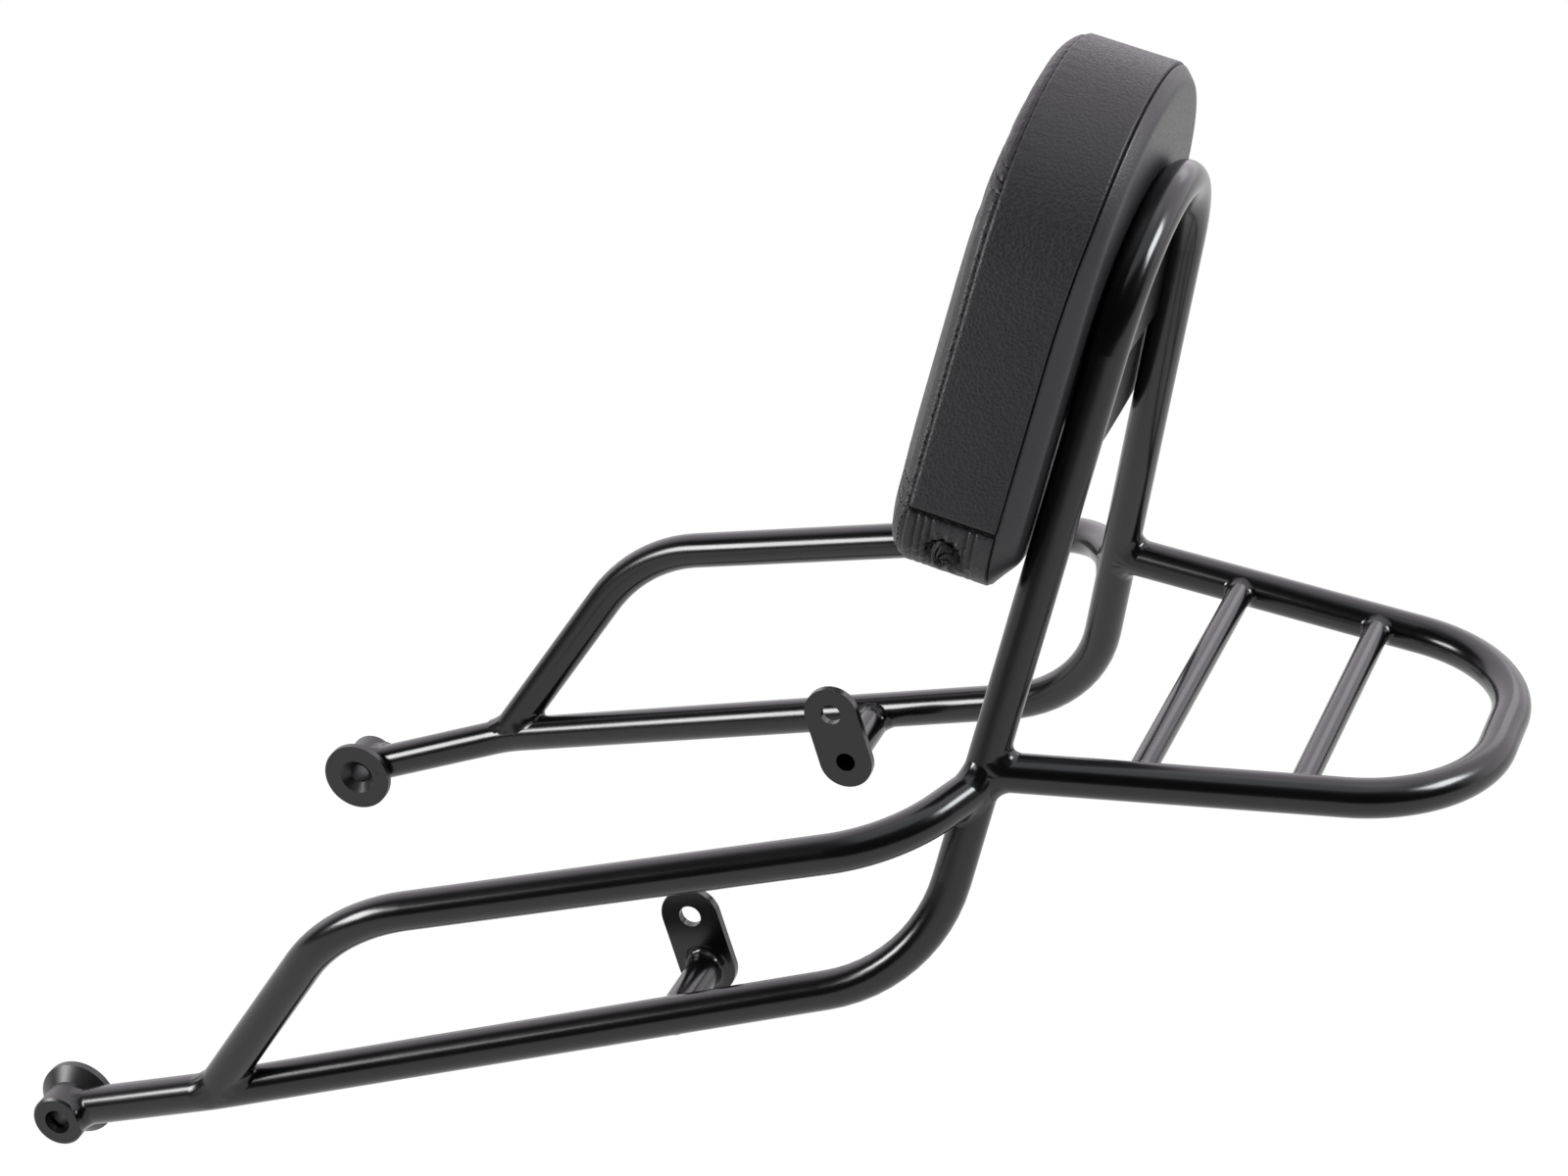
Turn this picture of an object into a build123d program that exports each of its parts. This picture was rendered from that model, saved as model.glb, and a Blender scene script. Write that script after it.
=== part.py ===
from build123d import *
import math
import os

# A motorcycle sissy bar: a bent tube hoop with grab rails, a rear rack and a bolted back pad.
# Millimetres. +X points to the rear, +Y to the rider's right and +Z up. The origin is midway between
# the two front spools, on their common axis, and the rack lies level. A "half" is a distance from the
# middle plane to a centre line. Left pieces are modelled on -Y and right ones on +Y.

# Round stock
TUBE_OD = 18.0
TUBE_WALL = 2.0
BAR_D = 12.0
STUB_D = 16.0
COPE_BACKSET = 1.0  # a coped tube starts this far short of the other tube's centre line

# Front spools, turned, with the flange on the inside
FLANGE_SPREAD = 325.0  # between the two flange faces
FLANGE_D = 37.0
FLANGE_T = 3.5
FLARE_LENGTH = 6.0
SPOOL_D = 25.5
SPOOL_END_LAND = 3.5  # the spool's outer end stands out this far past the tube
SPOOL_CHAMFER = 1.0
SPOOL_BORE_D = 10.5
SPOOL_MOUTH_D = 12.5  # the bore's wider outer end
SPOOL_MOUTH_DEPTH = 6.0
COUNTERSINK_D = 19.0

# Main hoop: the kink behind the spool, the bend at the foot of the upright, the upright and the arch
KINK_X = 80.0
KINK_Z = 32.0
KINK_HALF = 181.0
KINK_R = 80.0
FOOT_X = 412.0
FOOT_Z = 142.0
FOOT_HALF = 137.0
FOOT_R = 80.0
UPRIGHT_LEAN = 10.4  # degrees from the vertical, to the rear
HOOP_HEIGHT = 340.7  # up the hoop's plane, from the foot corner to the arch's centre line
ARCH_R = 68.0

# Grab rails: front corner, rear corner and the joint on the upright
RAIL_FRONT_X = 151.0
RAIL_FRONT_Z = 148.0
RAIL_FRONT_HALF = 194.0
RAIL_FRONT_R = 86.0
RAIL_REAR_SETBACK = 9.0  # rear corner in front of the foot corner
RAIL_REAR_DROP = 16.5  # rear corner below the rack
RAIL_REAR_HALF = 162.0
RAIL_REAR_R = 60.0
RAIL_JOINT_DROP = 6.0  # joint below the rack

# Rear rack: corners of the U before rounding, and the two cross bars
RACK_Z = 237.5
RACK_END_X = 640.0
RACK_END_HALF = 69.5
RACK_END_R = 68.5
FRONT_BAR_X = 495.0
REAR_BAR_X = 565.0

# Tab plates, square to the lower rails in side view, each on a stub
TAB_SPREAD = 200.0  # between the inner faces of the two plates
TAB_T = 4.0
TAB_WIDTH = 28.0
TAB_HOLE_SPACING = 27.0
TAB_BOLT_HOLE_D = 10.5
TAB_STUB_HOLE_D = 10.0
TAB_STUB_HOLE_DEPTH = 20.0  # how far the lower hole runs on into the stub
TAB_X = 297.0
TAB_DROP = 2.5  # lower hole below the lower rail's centre line

# Pad plate inside the hoop, with a raised middle for the pad. Heights on the hoop are measured up its plane
# from the foot corner.
PLATE_T = 4.0
PLATE_SETBACK = 1.0  # plate's front behind the tube's front
PLATE_RIM = 4.0  # the plate ends this far inside the tube's centre line
PLATE_HEIGHT = 90.7  # from the plate's bottom edge to the arch's centre line
PLATE_CORNER_R = 4.0
BOSS_RISE = 7.0  # the raised middle stands this far in front of the plate
BOSS_WIDTH = 52.0
BOSS_HEIGHT = 44.0
BOSS_CORNER_R = 8.0
BOSS_OVER_EDGE = 28.0  # its middle above the plate's bottom edge

# Pad: its outline follows the hoop's taper, and its front swells from the seam to a flat middle
PAD_OVER_ARCH = 50.3  # pad's top above the arch's centre line
PAD_HEIGHT = 213.0
PAD_ARCH_R = 94.0
PAD_CORNER_R = 28.0
BOXING_DEPTH = 45.0  # from the pad's back to the front seam
PAD_CROWN = 15.0  # the front panel stands this far in front of its seam
CROWN_RUN = 44.0  # the front panel is flat from this far inside its seam
CROWN_STEPS = 4
SKIN_T = 1.2
BOARD_T = 8.0
BOTTOM_SEAM_RISE = 35.0  # the side boxing is sewn to the bottom boxing this far above the pad's bottom

# Pad fasteners
SCREW_D = 6.0
SCREW_LENGTH = 20.0  # with its head
SCREW_HEAD_D = 12.0
SCREW_SOCKET = 4.0
SCREW_SOCKET_DEPTH = 2.0
SCREW_HOLE_D = 6.6
SCREW_SINK_D = 12.6  # the plate's countersink, at its back
TEE_FLANGE_D = 18.0
TEE_FLANGE_T = 1.2
TEE_BARREL_D = 8.0
TEE_BARREL_LENGTH = 7.0
SCREW_ACROSS = 32.0  # between the screws of a row
SCREW_UP = 26.0  # between the two rows

TUBE_R = TUBE_OD / 2
LEAN = math.radians(UPRIGHT_LEAN)
ARCH_CENTRE = HOOP_HEIGHT - ARCH_R
# Each upright leans in, in the hoop's own plane, so that it is tangent to the arch
TAPER = math.acos(ARCH_R / math.hypot(FOOT_HALF, ARCH_CENTRE)) - math.atan2(ARCH_CENTRE, FOOT_HALF)
PAD_TOP = HOOP_HEIGHT + PAD_OVER_ARCH
PAD_BOTTOM = PAD_TOP - PAD_HEIGHT
PLATE_BOTTOM = HOOP_HEIGHT - PLATE_HEIGHT

# The hoop's plane: local X to the rider's left, local Y up the hoop, local Z forward
HOOP_PLANE = Plane(
    origin=(FOOT_X, 0, FOOT_Z),
    x_dir=(0, -1, 0),
    z_dir=(-math.cos(LEAN), 0, math.sin(LEAN)),
)


def flip(point):
    """The same point on the other side of the middle plane."""
    return Vector(point.X, -point.Y, point.Z)


def right_of(shape):
    """The right-hand twin of a left-hand piece."""
    return mirror(shape, about=Plane.XZ)


def upright_at(height):
    """A point of the left upright's centre line at a height above the origin."""
    rise = (height - FOOT_Z) / math.cos(LEAN)
    return Vector(FOOT_X + rise * math.sin(LEAN), -FOOT_HALF + rise * math.tan(TAPER), height)


def lower_rail_at(x):
    """A point of the left lower rail's centre line."""
    share = (x - KINK_X) / (FOOT_X - KINK_X)
    half = KINK_HALF + share * (FOOT_HALF - KINK_HALF)
    return Vector(x, -half, KINK_Z + share * (FOOT_Z - KINK_Z))


def towards(start, end, distance):
    """The point at a distance from start on the way to end."""
    return start + (end - start).normalized() * distance


def round_bar(path, diameter):
    """A solid round bar along a path."""
    section = Plane(origin=path @ 0, z_dir=path % 0) * Circle(diameter / 2)
    return sweep(section, path=path)


def bent_tube(path):
    """A tube along a path, and the same tube filled, to cope others by."""
    filled = round_bar(path, TUBE_OD)
    return filled - round_bar(path, TUBE_OD - 2 * TUBE_WALL), filled


# Front spools
def spool_pieces():
    """The left front spool, and its outer form without the bore."""
    face = FLANGE_SPREAD / 2
    back = face + FLANGE_T
    flare = back + FLARE_LENGTH
    end = back + TUBE_OD + SPOOL_END_LAND
    outline = Polyline(
        (0, -face),
        (FLANGE_D / 2, -face),
        (FLANGE_D / 2, -back),
        (SPOOL_D / 2, -flare),
        (SPOOL_D / 2, -end + SPOOL_CHAMFER),
        (SPOOL_D / 2 - SPOOL_CHAMFER, -end),
        (0, -end),
        close=True,
    )
    blank = revolve(make_face(outline), axis=Axis.Y)
    sink = (COUNTERSINK_D - SPOOL_BORE_D) / 2
    bore = Polyline(
        (0, -face),
        (COUNTERSINK_D / 2, -face),
        (SPOOL_BORE_D / 2, -face - sink),
        (SPOOL_BORE_D / 2, -end + SPOOL_MOUTH_DEPTH),
        (SPOOL_MOUTH_D / 2, -end + SPOOL_MOUTH_DEPTH),
        (SPOOL_MOUTH_D / 2, -end),
        (0, -end),
        close=True,
    )
    return blank - revolve(make_face(bore), axis=Axis.Y), blank


# Main hoop
def hoop_path():
    """Centre line from the left spool over the arch to the right spool."""
    front = Vector(0, -(FLANGE_SPREAD / 2 + FLANGE_T + TUBE_R), 0)
    kink = lower_rail_at(KINK_X)
    foot = lower_rail_at(FOOT_X)
    apex = upright_at(FOOT_Z + FOOT_HALF / math.tan(TAPER) * math.cos(LEAN))
    points = [front, kink, foot, apex, flip(foot), flip(kink), flip(front)]
    return FilletPolyline(*points, radius=[KINK_R, FOOT_R, ARCH_R, FOOT_R, KINK_R])


# Grab rails
def rail_path():
    """Centre line of the left grab rail."""
    kink = lower_rail_at(KINK_X)
    front = Vector(RAIL_FRONT_X, -RAIL_FRONT_HALF, RAIL_FRONT_Z)
    rear = Vector(FOOT_X - RAIL_REAR_SETBACK, -RAIL_REAR_HALF, RACK_Z - RAIL_REAR_DROP)
    joint = upright_at(RACK_Z - RAIL_JOINT_DROP)
    start = towards(kink, front, COPE_BACKSET)
    end = towards(joint, rear, COPE_BACKSET)
    return FilletPolyline(start, front, rear, end, radius=[RAIL_FRONT_R, RAIL_REAR_R])


# Rear rack
def rack_path():
    """Centre line of the rack's U tube, from the left upright round to the right one."""
    joint = upright_at(RACK_Z)
    corner = Vector(RACK_END_X, -RACK_END_HALF, RACK_Z)
    start = towards(joint, corner, COPE_BACKSET)
    return FilletPolyline(start, corner, flip(corner), flip(start), radius=[RACK_END_R, RACK_END_R])


def rack_bar(x):
    """A cross bar of the rack, before its ends are coped."""
    joint = upright_at(RACK_Z)
    share = (x - joint.X) / (RACK_END_X - joint.X)
    half = -joint.Y + share * (RACK_END_HALF + joint.Y)
    return round_bar(Line((x, -half, RACK_Z), (x, half, RACK_Z)), BAR_D)


# Tab plates and stubs
def tab_pieces():
    """The left tab plate, and its stub before the stub is coped to the rail."""
    rail = lower_rail_at(TAB_X)
    slope = math.atan2(FOOT_Z - KINK_Z, FOOT_X - KINK_X)
    face = Plane(
        origin=(TAB_X, -TAB_SPREAD / 2, rail.Z - TAB_DROP),
        x_dir=(-math.sin(slope), 0, math.cos(slope)),
        z_dir=(0, -1, 0),
    )
    upper = Pos(TAB_HOLE_SPACING, 0)
    outline = Pos(TAB_HOLE_SPACING / 2, 0) * SlotCenterToCenter(TAB_HOLE_SPACING, TAB_WIDTH)
    outline -= upper * Circle(TAB_BOLT_HOLE_D / 2)
    outline -= Circle(TAB_STUB_HOLE_D / 2)
    plate = face * extrude(outline, TAB_T)
    reach = -rail.Y - TAB_SPREAD / 2
    stub = Pos(0, 0, TAB_T) * extrude(Circle(STUB_D / 2), reach - TAB_T)
    stub -= Pos(0, 0, TAB_T) * extrude(Circle(TAB_STUB_HOLE_D / 2), TAB_STUB_HOLE_DEPTH)
    return plate, face * stub


# Pad plate and pad, in the hoop's plane
def tombstone(bottom, arch_centre, radius, corner):
    """Outline with a flat bottom, sides that converge upwards and a round top tangent to them."""
    side = radius * math.cos(TAPER)
    shoulder = arch_centre + radius * math.sin(TAPER)
    foot = side + (shoulder - bottom) * math.tan(TAPER)
    edges = [
        Line((side, shoulder), (foot, bottom)),
        Line((foot, bottom), (-foot, bottom)),
        Line((-foot, bottom), (-side, shoulder)),
        ThreePointArc((-side, shoulder), (0, arch_centre + radius), (side, shoulder)),
    ]
    face = make_face(edges)
    return fillet(face.vertices().sort_by(Axis.Y)[:2], corner)


def pad_outline(inset):
    """The pad's outline, drawn in by an inset all round."""
    return tombstone(PAD_BOTTOM + inset, PAD_TOP - PAD_ARCH_R, PAD_ARCH_R - inset, PAD_CORNER_R)


def layer(outline, start, end):
    """An outline extruded between two distances in front of the hoop's plane."""
    return Pos(0, 0, start) * extrude(outline, end - start)


def crowned(inset, start, end):
    """A dome on the pad's outline, whose edge swells as a quarter of an ellipse to a flat middle."""
    sections = []
    for step in range(CROWN_STEPS + 1):
        turn = math.radians(90 * step / CROWN_STEPS)
        outline = pad_outline(inset + CROWN_RUN * (1 - math.cos(turn)))
        sections.append(Pos(0, 0, start + (end - start) * math.sin(turn)) * outline)
    return loft(sections)


def at_screws(shape):
    """Copies of a shape at every screw, in two rows on the plate's raised middle."""
    middle = Pos(0, PLATE_BOTTOM + BOSS_OVER_EDGE)
    return [middle * place * shape for place in GridLocations(SCREW_ACROSS, SCREW_UP, 2, 2)]


def tee_nut(front):
    """A tee nut whose flange lies on the front of the board, with its barrel pointing back."""
    body = layer(Circle(TEE_FLANGE_D / 2), front, front + TEE_FLANGE_T)
    body += layer(Circle(TEE_BARREL_D / 2), front - TEE_BARREL_LENGTH, front)
    return body - layer(Circle(SCREW_D / 2), front - TEE_BARREL_LENGTH, front + TEE_FLANGE_T)


def right_cone(rim, stem, back):
    """A cone of 90 degrees, from the diameter of its rim at the back to a smaller one in front."""
    depth = (rim - stem) / 2
    return Pos(0, 0, back + depth / 2) * Cone(rim / 2, stem / 2, depth)


def pad_screw(plate_back):
    """A countersunk screw that fills the plate's sink, with its shank pointing forward."""
    rear = plate_back + (SCREW_SINK_D - SCREW_HEAD_D) / 2
    neck = rear + (SCREW_HEAD_D - SCREW_D) / 2
    socket = RegularPolygon(SCREW_SOCKET / 2, 6, major_radius=False)
    body = right_cone(SCREW_HEAD_D, SCREW_D, rear) + layer(Circle(SCREW_D / 2), neck, rear + SCREW_LENGTH)
    return body - layer(socket, rear, rear + SCREW_SOCKET_DEPTH)


def pad_pieces():
    """The pad plate before it is coped, the pad and its fasteners, by node name, in the hoop's plane."""
    plate_front = TUBE_R - PLATE_SETBACK
    plate_back = plate_front - PLATE_T
    pad_back = plate_front + BOSS_RISE
    board_back = pad_back + SKIN_T
    board_front = board_back + BOARD_T
    seam = pad_back + BOXING_DEPTH
    front = seam + PAD_CROWN
    holes = at_screws(Circle(SCREW_HOLE_D / 2))
    barrels = at_screws(Circle(TEE_BARREL_D / 2))
    outer = pad_outline(0)
    inner = pad_outline(SKIN_T)

    plate = tombstone(PLATE_BOTTOM, ARCH_CENTRE, ARCH_R - PLATE_RIM, PLATE_CORNER_R)
    boss = Pos(0, PLATE_BOTTOM + BOSS_OVER_EDGE) * RectangleRounded(BOSS_WIDTH, BOSS_HEIGHT, BOSS_CORNER_R)
    swell = crowned(SKIN_T, seam, front - SKIN_T)
    pockets = at_screws(layer(Circle(TEE_FLANGE_D / 2), board_front, board_front + TEE_FLANGE_T))
    boxing = layer(outer - inner, board_back, seam)
    sewn = Plane.XZ.offset(-(PAD_BOTTOM + BOTTOM_SEAM_RISE))
    drilled = layer(plate - holes, plate_back, plate_front) + layer(boss - holes, plate_front, pad_back)
    return {
        "pad_plate": drilled - at_screws(right_cone(SCREW_SINK_D, SCREW_HOLE_D, plate_back)),
        "pad_back_cover": layer(outer - holes, pad_back, board_back),
        "pad_base_board": layer(inner - barrels, board_back, board_front),
        "pad_foam": layer(inner, board_front, seam) + swell - pockets,
        "pad_front_cover": crowned(0, seam, front) - swell,
        "pad_side_boxing": split(boxing, bisect_by=sewn, keep=Keep.BOTTOM),
        "pad_bottom_boxing": split(boxing, bisect_by=sewn, keep=Keep.TOP),
        "pad_screws": Compound(at_screws(pad_screw(plate_back))),
        "pad_tee_nuts": Compound(at_screws(tee_nut(board_front))),
    }


def build():
    """Every piece of the sissy bar, by node name."""
    nodes = {}
    spool, spool_blank = spool_pieces()
    hoop, hoop_filled = bent_tube(hoop_path())
    rack, rack_filled = bent_tube(rack_path())
    rail, _ = bent_tube(rail_path())
    plate, stub = tab_pieces()

    rail -= [hoop_filled, rack_filled]
    stub -= hoop_filled
    nodes["main_hoop"] = hoop - [spool_blank, right_of(spool_blank)]
    nodes["rack_loop"] = rack - hoop_filled
    nodes["front_rack_bar"] = rack_bar(FRONT_BAR_X) - rack_filled
    nodes["rear_rack_bar"] = rack_bar(REAR_BAR_X) - rack_filled
    pairs = {"grab_rail": rail, "front_spool": spool, "tab_plate": plate, "tab_stub": stub}
    for name, piece in pairs.items():
        nodes[f"left_{name}"] = piece
        nodes[f"right_{name}"] = right_of(piece)
    for name, piece in pad_pieces().items():
        nodes[name] = HOOP_PLANE.location * piece
    nodes["pad_plate"] -= hoop_filled
    return nodes


os.makedirs("parts", exist_ok=True)
for node_name, node_shape in build().items():
    export_step(node_shape, f"parts/{node_name}.step")
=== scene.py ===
import math

import bmesh
import bpy
import numpy as np
from mathutils import Matrix, Vector
from mathutils.bvhtree import BVHTree


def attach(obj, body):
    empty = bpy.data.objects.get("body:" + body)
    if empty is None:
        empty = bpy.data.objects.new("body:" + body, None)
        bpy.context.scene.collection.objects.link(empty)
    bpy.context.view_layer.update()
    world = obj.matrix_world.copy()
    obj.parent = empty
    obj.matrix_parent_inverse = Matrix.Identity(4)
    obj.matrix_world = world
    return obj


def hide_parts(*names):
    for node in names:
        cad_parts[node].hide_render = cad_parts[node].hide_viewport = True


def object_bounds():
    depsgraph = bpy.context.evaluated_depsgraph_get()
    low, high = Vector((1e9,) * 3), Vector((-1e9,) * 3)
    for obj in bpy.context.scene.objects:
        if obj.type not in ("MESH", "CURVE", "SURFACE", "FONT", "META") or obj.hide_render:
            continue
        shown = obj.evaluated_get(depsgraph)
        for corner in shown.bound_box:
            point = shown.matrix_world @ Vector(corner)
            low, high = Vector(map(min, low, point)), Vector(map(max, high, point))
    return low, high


# A motorcycle sissy bar: gloss black tube frame with filleted welds, and a stitched black vinyl back pad.
# Metres. +X points to the rear, +Y to the rider's right and +Z up, as in the frame.

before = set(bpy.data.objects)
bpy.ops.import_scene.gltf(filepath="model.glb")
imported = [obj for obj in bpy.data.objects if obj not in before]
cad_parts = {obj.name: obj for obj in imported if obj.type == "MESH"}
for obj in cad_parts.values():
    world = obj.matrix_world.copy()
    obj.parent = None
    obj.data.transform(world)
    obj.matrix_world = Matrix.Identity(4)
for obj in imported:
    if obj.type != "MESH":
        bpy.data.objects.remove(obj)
CAD_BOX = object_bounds()
BODY = "root"

# The photograph's camera, from a fit of the tubes. Pixels are those of the 1600 x 1200 image.
IMAGE_WIDTH = 1600
IMAGE_HEIGHT = 1200
FOCAL_PX = 4663.4
CENTRE_PX = (970.1, 592.9)
YAW = math.radians(16.321)
ELEVATION = math.radians(27.396)
ROLL = math.radians(1.947)
TARGET = Vector((0.378, 0.00025, 0.26728))
DISTANCE = 2.1138
SENSOR_WIDTH = 36.0
CLIP_END = 100.0

# Tubes and joints, as centre lines of the left side
TUBE_R = 0.009
BAR_R = 0.006
STUB_R = 0.008
SPOOL_R = 0.01275
SPOOL = Vector((0, -0.175, 0))
KINK = Vector((0.080, -0.181, 0.032))
FOOT = Vector((0.412, -0.137, 0.142))
RAIL_FRONT = Vector((0.151, -0.194, 0.148))
RAIL_REAR = Vector((0.403, -0.162, 0.221))
RAIL_JOINT_Z = 0.2315
RACK_Z = 0.2375
RACK_CORNER = Vector((0.640, -0.0695, 0.2375))
RACK_BAR_XS = (0.495, 0.565)
TAB_X = 0.297
TAB_DROP = 0.0025
TAB_BACK_HALF = 0.104

# Welds: fillets that reach along both of the pieces that meet
WELD_REACH = 0.0056
STUB_WELD_REACH = 0.0042
BAR_WELD_REACH = 0.0030
WELD_FULLNESS = 0.07
WELD_RIPPLE = 0.02
WELD_WANDER = 0.10
WELD_PITCH = 0.0042
WELD_SINK = 0.0001
WELD_POINTS = 9
WELD_STEPS = 96
SEAT_LIMIT = 0.97
WELD_SHARP_ANGLE = math.radians(60)

# The hoop's plane: heights run up it from the foot corner, and depths run forward from it
LEAN = math.radians(10.4)
TAPER = math.radians(13.8)
PLANE_ORIGIN = np.array((FOOT.x, 0, FOOT.z))
PLANE_UP = np.array((math.sin(LEAN), 0, math.cos(LEAN)))
PLANE_AHEAD = np.array((-math.cos(LEAN), 0, math.sin(LEAN)))
SIDEWAYS = np.array((0, 1, 0))

# Pad
PAD_BOTTOM = 0.178
PAD_ARCH_CENTRE = 0.297
PAD_ARCH_R = 0.094
PAD_CORNER_R = 0.028
PAD_MIDDLE = 0.280
BACK_DEPTH = 0.0094
REAR_SEAM_LOW = 0.0192
REAR_SEAM_HIGH = 0.0162
REAR_SEAM_HEIGHTS = (0.29, 0.37)
BAND_SLOPE = 1.1
CORNER_EASE = 0.45
CORNER_SIZE = (0.100, 0.028)
BAND_ROUND = 0.0022
BOSS_FRONT = 0.0151
BOSS_MIDDLE = 0.278
BOSS_SIZE = (0.052, 0.044)
BOSS_BLEND = 0.010
FRONT_SEAM_DEPTH = 0.060
PAD_CROWN = 0.015
CROWN_RUN = 0.044
SIDE_SEAM_HEIGHT = 0.213
CROSS_SEAMS = (0.3535, 0.2175)
SKIN = 0.0012
TINY = 1e-9
NO_LENGTH = 1e-12

# Cover mesh and cloth
SIDE_CELLS = 48
BOXING_ROWS = 10
FINER = 4
BOTTOM_FINER = 12
CROWDING = 0.8
OUTLINE_STEPS = 12
CORNER_POINTS = 40
ARCH_POINTS = 80
START_CROWN = 0.75
CLOTH_FRAMES = 20
CLOTH_PRESSURE = 4.0
CLOTH_MASS = 0.3
CLOTH_QUALITY = 5
FRONT_CAP = 0.0045
BOXING_CAP = 0.0018

# Sewing
SEAM_DEPTH = 0.0015
SEAM_WIDTH = 0.0010
# Widths and strengths of the painted shade in the seams, the pleats, the trench round the knots and the rear
# seam
SEAM_LINE = 0.00045
SIDE_SEAM_LINE = 0.0010
PLEAT_SHADE = 0.55
KNOT_SHADE = 0.6
REAR_SHADE = 0.75
SEAM_STITCH_GAP = 0.0013
CROSS_STITCH_GAP = 0.0048
STITCH_PITCH = 0.0032
STITCH_LENGTH = 0.0024
STITCH_R = 0.00022
STITCH_SIDES = 7
STITCH_STATIONS = 7
STITCH_TAPER = 0.75
STITCH_TIP = 0.05
STITCH_LIFT = 0.7
STITCH_BOW = 1.3
LONG_STITCH = 1.9
STITCH_POINTS = 60
LAY_REACH = 0.06
CROSS_SEAM_REACH = 1.5 * PAD_ARCH_R
PAST_PAD = 2 * PAD_ARCH_R
CROSS_SEAM_DEPTH = 0.0005
SIDE_SEAM_DEPTH = 0.0010
REAR_SEAM_DEPTH = 0.0016
REAR_SEAM_WIDTH = 0.0006
STITCH_DIMPLE = 0.0004
DIMPLE_WIDTH = 0.0011
PUCKER = 0.00010
PUCKER_PITCH = 0.0085
PUCKER_REACH = 0.007
PUCKER_SWAY = 1.3
PUCKER_SWAY_PITCHES = 5.3
PLEATS = (0.0545, 0.0512, 0.0478, 0.0312, 0.0278)
PLEAT_DEPTH = 0.0007
PLEAT_WIDTH = 0.0007
PLEAT_REACH = 0.030
PLEAT_START = 0.002
KNOT_DEPTH = 0.0402
KNOT_DROP = 0.0180
KNOT_R = 0.0066
KNOT_HEIGHT = 0.0048
KNOT_LOBES = 7
KNOT_CURL = 1.9
KNOT_FOLD = 0.0026
KNOT_TRENCH = 0.0024
KNOT_TRENCH_WIDTH = 0.0014
KNOT_GATHER = 0.0007
KNOT_GATHER_RING = 1.4 * KNOT_R
KNOT_TRENCH_LEAST = 0.5
KNOT_SINK = 0.0012
KNOT_SHAPE = (0.86, 1.12)
KNOT_CELLS = (26, 120)
KNOT_CREASE_POWER = 8
KNOT_WAVES = 3
KNOT_WAVE = 0.09
KNOT_NOTCH = 0.10
KNOT_DIMPLE_WIDTH = 0.25
KNOT_DOME_POWER = 3
KNOT_FOLD_SHIFT = 0.1
MERGE_DISTANCE = 1e-6

# Coats: colour, then the smoothest and the roughest of the surface
GLOSS_COAT = ((0.0020, 0.0019, 0.0021), 0.17, 0.25)
SATIN_COAT = ((0.0045, 0.0044, 0.0046), 0.32, 0.42)
BLACK_ZINC = ((0.0060, 0.0060, 0.0064), 0.30, 0.45)
COAT_CLOUDS = 26.0
COAT_MOTTLE = 0.3
PEEL = 330.0
PEEL_DETAIL = 1.5
PEEL_STRENGTH = 0.015
PEEL_HEIGHT = 0.0003

# Vinyls: colour, strength of the grain, then the smoothest and the roughest of the surface
GRAINED_VINYL = ((0.0118, 0.0102, 0.0122), 0.42, 0.36, 0.58)
BACK_VINYL = ((0.0145, 0.0128, 0.0146), 0.16, 0.36, 0.48)
# The knots' vinyl is the same vinyl made darker and duller: painted shade on the gathered bunch
SHADED_KNOT_VINYL = ((0.0050, 0.0045, 0.0050), 0.30, 0.55, 0.70)
VINYL_CLOUDS = 19.0
VINYL_MOTTLE = 0.2
VINYL_SPECULAR = 0.45
CLOUD_DETAIL = 3.0
GRAIN = 640.0
GRAIN_RANDOMNESS = 0.9
GRAIN_SMOOTHNESS = 0.35
GRAIN_HEIGHT = 0.0005
GRAIN_WANDER = 160.0
GRAIN_SHIFT = 0.0011
PORES = 2600.0
PORE_DETAIL = 2.0
PORE_SHARE = 0.35
PORE_HEIGHT = 0.0002
# Painted shade: along the seams, pleats and knot trenches the vinyl is blended to this near-black colour and
# loses its shine
SEAM_SHADE = "seam_shade"
PAINTED_SEAM_SHADE_COLOUR = (0.0006, 0.0006, 0.0006)

# Materials of one texture, which sets the colour between dark and light and makes the bump
STOCK = {
    "thread": {
        "colour": (0.006, 0.006, 0.006),
        "dark": (0.003, 0.003, 0.003),
        "light": (0.010, 0.010, 0.010),
        "inputs": {"Roughness": 0.6, "Specular IOR Level": 0.12},
        "texture": "ShaderNodeTexWave",
        "settings": {"Scale": 900.0, "Distortion": 2.0},
        "output": "Fac",
        "bump": (0.4, 0.0002),
    },
    "zinc": {
        "colour": (0.60, 0.61, 0.63),
        "dark": (0.50, 0.51, 0.53),
        "light": (0.68, 0.69, 0.70),
        "inputs": {"Roughness": 0.3, "Metallic": 1.0},
        "roughnesses": (0.22, 0.42),
        "texture": "ShaderNodeTexNoise",
        "settings": {"Scale": 240.0, "Detail": 4.0},
        "output": "Fac",
        "bump": (0.08, 0.0002),
    },
    "foam": {
        "colour": (0.55, 0.50, 0.36),
        "dark": (0.48, 0.43, 0.30),
        "light": (0.60, 0.55, 0.41),
        "inputs": {"Roughness": 0.9},
        "texture": "ShaderNodeTexVoronoi",
        "settings": {"Scale": 900.0},
        "output": "Distance",
        "bump": (0.5, 0.0004),
    },
    "plywood": {
        "colour": (0.42, 0.30, 0.18),
        "dark": (0.36, 0.25, 0.14),
        "light": (0.48, 0.36, 0.22),
        "inputs": {"Roughness": 0.6},
        "texture": "ShaderNodeTexWave",
        "settings": {"Scale": 60.0, "Distortion": 6.0},
        "output": "Fac",
        "bump": (0.2, 0.0003),
    },
}

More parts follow.
